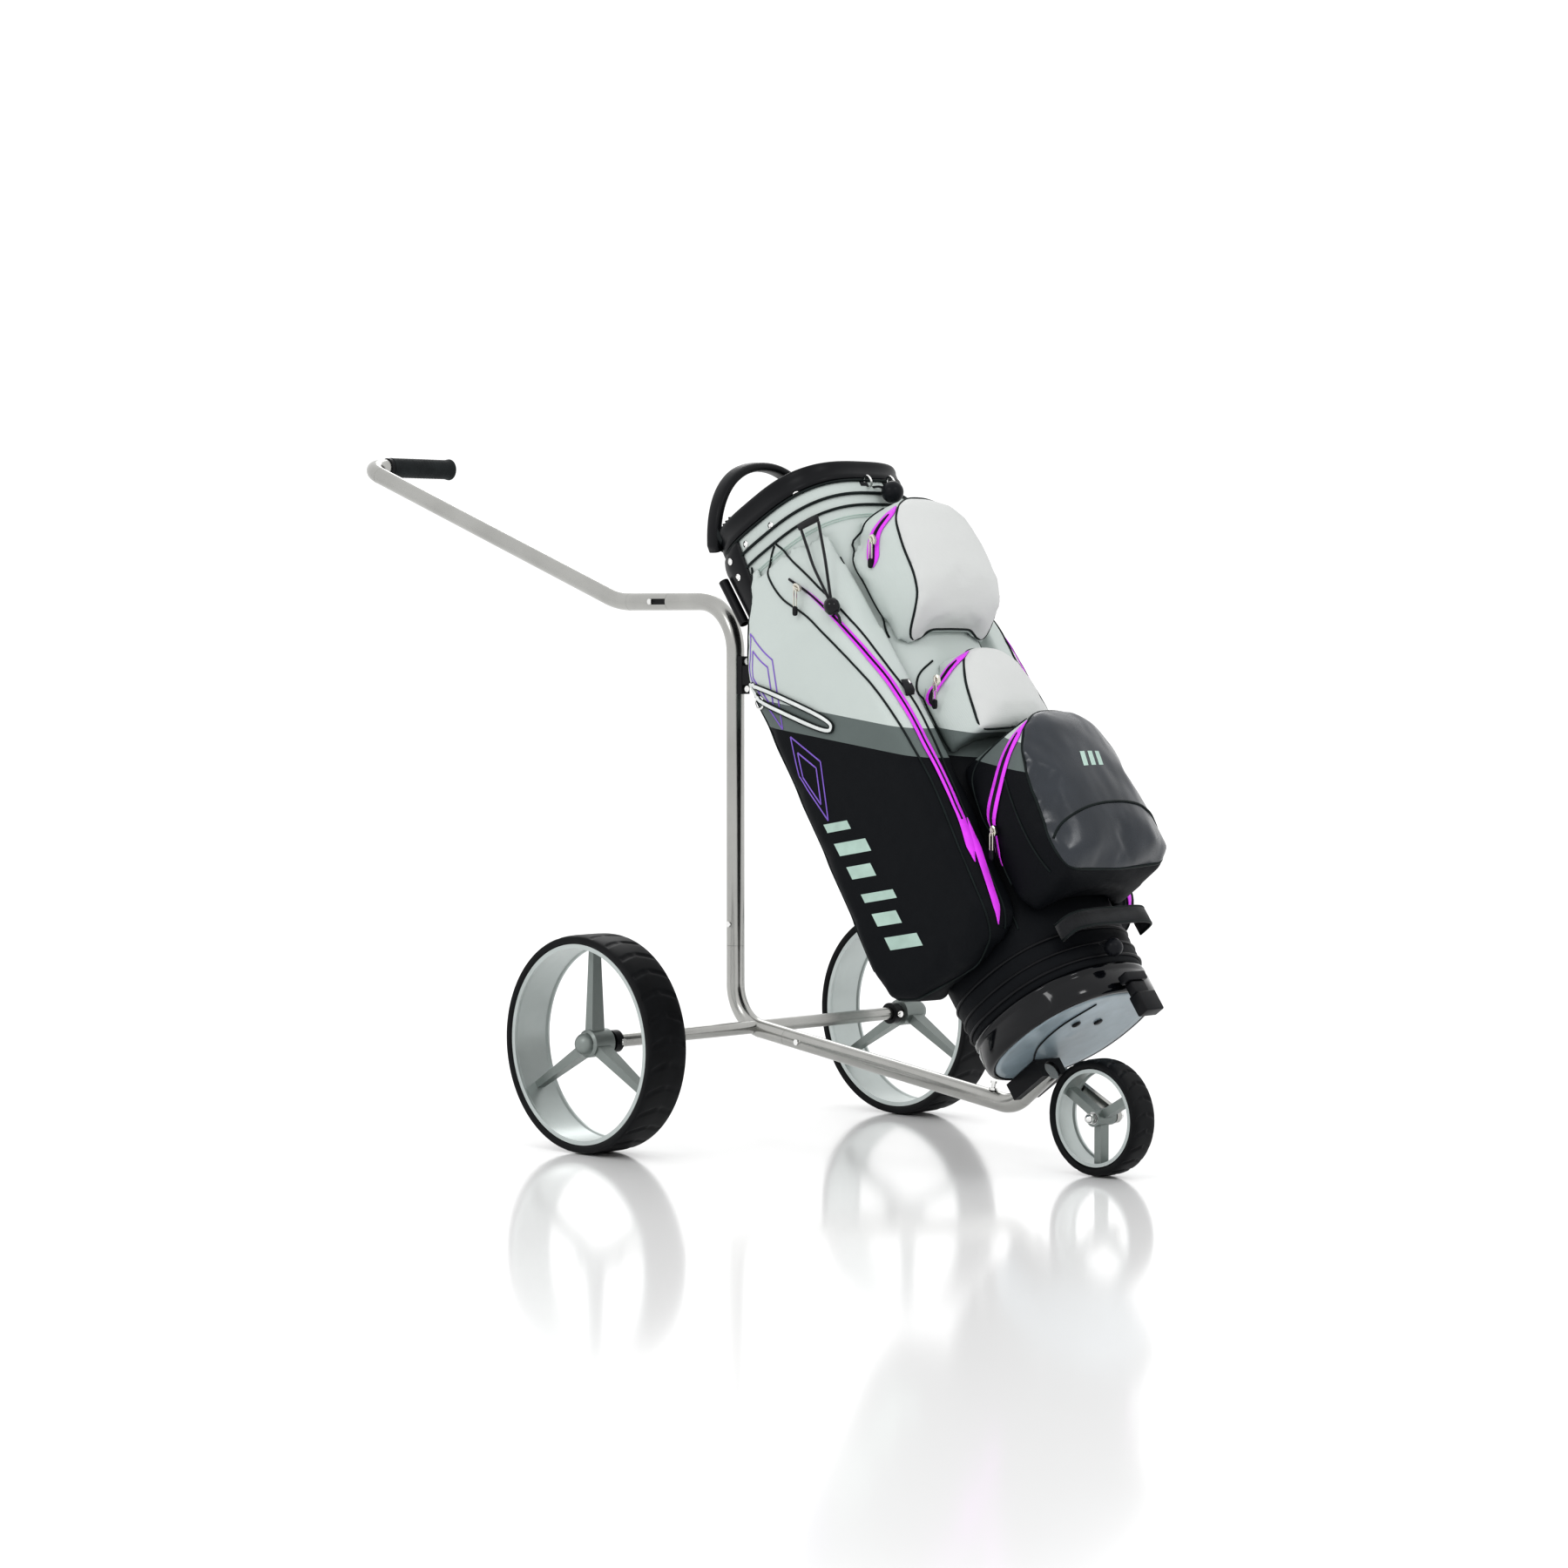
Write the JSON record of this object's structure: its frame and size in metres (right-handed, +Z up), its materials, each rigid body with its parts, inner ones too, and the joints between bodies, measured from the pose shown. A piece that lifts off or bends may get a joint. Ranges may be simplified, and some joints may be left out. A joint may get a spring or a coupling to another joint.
{
  "type": "golf bag on push cart",
  "caption": "Leaning cart-style golf bag with front and side pockets on a three-wheeled push cart with a single bent tube handle.",
  "frame": {"origin": "on the ground, under the middle of the overall length and on the middle plane between the rear wheels", "axes": "+X forward, from the grip to the front wheel; +Y to the left-hand side; +Z up"},
  "size_m": [1.6048, 0.6656, 0.9576],
  "materials": {
    "tube_metal": "brushed",
    "spigot_plastic": "matte",
    "bracket_plastic": "matte",
    "axle_collar": "satin",
    "bright_metal": "polished",
    "bearing_steel": "ground",
    "hub_metal": "satin",
    "rim_metal": "satin",
    "tyre_rubber": "matte",
    "grip_rubber": "matte",
    "pale_fabric": "coated weave",
    "side_fabric": "coated weave",
    "coated_fabric": "glossy coated weave",
    "collar_plastic": "satin",
    "divider_cloth": "fleece",
    "base_plastic": "gloss",
    "plate_plastic": "satin",
    "cord_black": "braided",
    "trim_black": "satin",
    "webbing": "woven",
    "zip_metal": "polished"
  },
  "bodies": {
    "frame": {"axle_tube": "tube_metal", "lower_post": "tube_metal", "upper_post": "tube_metal", "joint_spigots": "spigot_plastic", "bag_bracket": "bracket_plastic", "bracket_screw": "bright_metal", "cradle_pad": "bracket_plastic", "front_tube": "tube_metal", "tube_end_cap": "tube_metal", "base_rest_pad": "bracket_plastic", "strap_lug": "bright_metal", "fork_arm": "tube_metal", "front_axle": "bright_metal", "front_axle_nuts": "bright_metal", "axle_collars": "axle_collar"},
    "post_button": {"post_button": "bright_metal"},
    "handle_button": {"handle_button": "bright_metal"},
    "front_button": {"front_button": "bright_metal"},
    "left_release": {"left_release_pin": "bright_metal"},
    "right_release": {"right_release_pin": "bright_metal"},
    "left_axle": {"left_stub_axle": "bright_metal"},
    "left_wheel": {"left_bearings": "bearing_steel", "left_hub": "hub_metal", "left_rim": "rim_metal", "left_tyre": "tyre_rubber"},
    "right_axle": {"right_stub_axle": "bright_metal"},
    "right_wheel": {"right_bearings": "bearing_steel", "right_hub": "hub_metal", "right_rim": "rim_metal", "right_tyre": "tyre_rubber"},
    "front_wheel": {"front_bearings": "bearing_steel", "front_hub": "hub_metal", "front_rim": "rim_metal", "front_tyre": "tyre_rubber"},
    "handle": {"handle_tube": "tube_metal", "handle_collar": "grip_rubber", "grip": "grip_rubber"},
    "bag": {"bag_body": "pale_fabric", "collar_ring": "collar_plastic", "divider_grid": "collar_plastic", "divider_panels": "divider_cloth", "grab_handle": "collar_plastic", "sleeve_tube": "collar_plastic", "base_moulding": "base_plastic", "base_plate": "plate_plastic", "left_side_pocket": "side_fabric", "right_side_pocket": "side_fabric", "top_pocket": "pale_fabric", "middle_pocket": "pale_fabric", "ball_pocket": "coated_fabric", "side_loop": "trim_black", "elastic_cord": "cord_black", "cord_stopper": "trim_black", "clip_hooks": "bright_metal", "toggle_balls": "trim_black", "base_straps": "webbing"},
    "top_zip": {"top_zip_slider": "zip_metal"},
    "middle_zip": {"middle_zip_slider": "zip_metal"},
    "ball_zip": {"ball_zip_slider": "zip_metal"},
    "side_zip": {"side_zip_slider": "zip_metal"}
  },
  "joints": [
    {"name": "post_button_press", "type": "slide", "parent": "frame", "child": "post_button", "axis": [0, 1, 0], "range_m": [0, 0.0025], "stiffness_N_per_m": 400},
    {"name": "handle_button_press", "type": "slide", "parent": "frame", "child": "handle_button", "axis": [0, 1, 0], "range_m": [0, 0.0025], "stiffness_N_per_m": 400},
    {"name": "front_button_press", "type": "slide", "parent": "frame", "child": "front_button", "axis": [0, 1, 0], "range_m": [0, 0.0025], "stiffness_N_per_m": 400},
    {"name": "left_release_press", "type": "slide", "parent": "frame", "child": "left_release", "axis": [-1, 0, 0], "range_m": [0, 0.0025], "stiffness_N_per_m": 400},
    {"name": "left_axle_pull", "type": "slide", "parent": "frame", "child": "left_axle", "axis": [0, 1, 0], "range_m": [0, 0.05]},
    {"name": "left_wheel_spin", "type": "hinge", "parent": "left_axle", "child": "left_wheel", "pos_m": [0.08415, 0.3, 0.145], "axis": [0, 1, 0], "continuous": true},
    {"name": "right_release_press", "type": "slide", "parent": "frame", "child": "right_release", "axis": [-1, 0, 0], "range_m": [0, 0.0025], "stiffness_N_per_m": 400},
    {"name": "right_axle_pull", "type": "slide", "parent": "frame", "child": "right_axle", "axis": [0, -1, 0], "range_m": [0, 0.05]},
    {"name": "right_wheel_spin", "type": "hinge", "parent": "right_axle", "child": "right_wheel", "pos_m": [0.08415, -0.3, 0.145], "axis": [0, 1, 0], "continuous": true},
    {"name": "front_wheel_spin", "type": "hinge", "parent": "frame", "child": "front_wheel", "pos_m": [0.70115, 0.012, 0.0745], "axis": [0, 1, 0], "continuous": true},
    {"name": "handle_pull", "type": "slide", "parent": "frame", "child": "handle", "axis": [-1, 0, 0], "range_m": [0, 0.06]},
    {"name": "bag_lift", "type": "slide", "parent": "frame", "child": "bag", "axis": [-0.585, 0, 0.8111], "range_m": [0, 0.1]},
    {"name": "top_zip_run", "type": "slide", "parent": "bag", "child": "top_zip", "axis": [-0.1878, 0.1886, 0.9639], "range_m": [-0.02, 0.02]},
    {"name": "middle_zip_run", "type": "slide", "parent": "bag", "child": "middle_zip", "axis": [0.4957, 0.5378, 0.682], "range_m": [-0.004, 0.01]},
    {"name": "ball_zip_run", "type": "slide", "parent": "bag", "child": "ball_zip", "axis": [-0.0945, 0, 0.9955], "range_m": [-0.003, 0.04]},
    {"name": "side_zip_run", "type": "slide", "parent": "bag", "child": "side_zip", "axis": [0.8515, 0, -0.5243], "range_m": [-0.01, 0.025]}
  ]
}
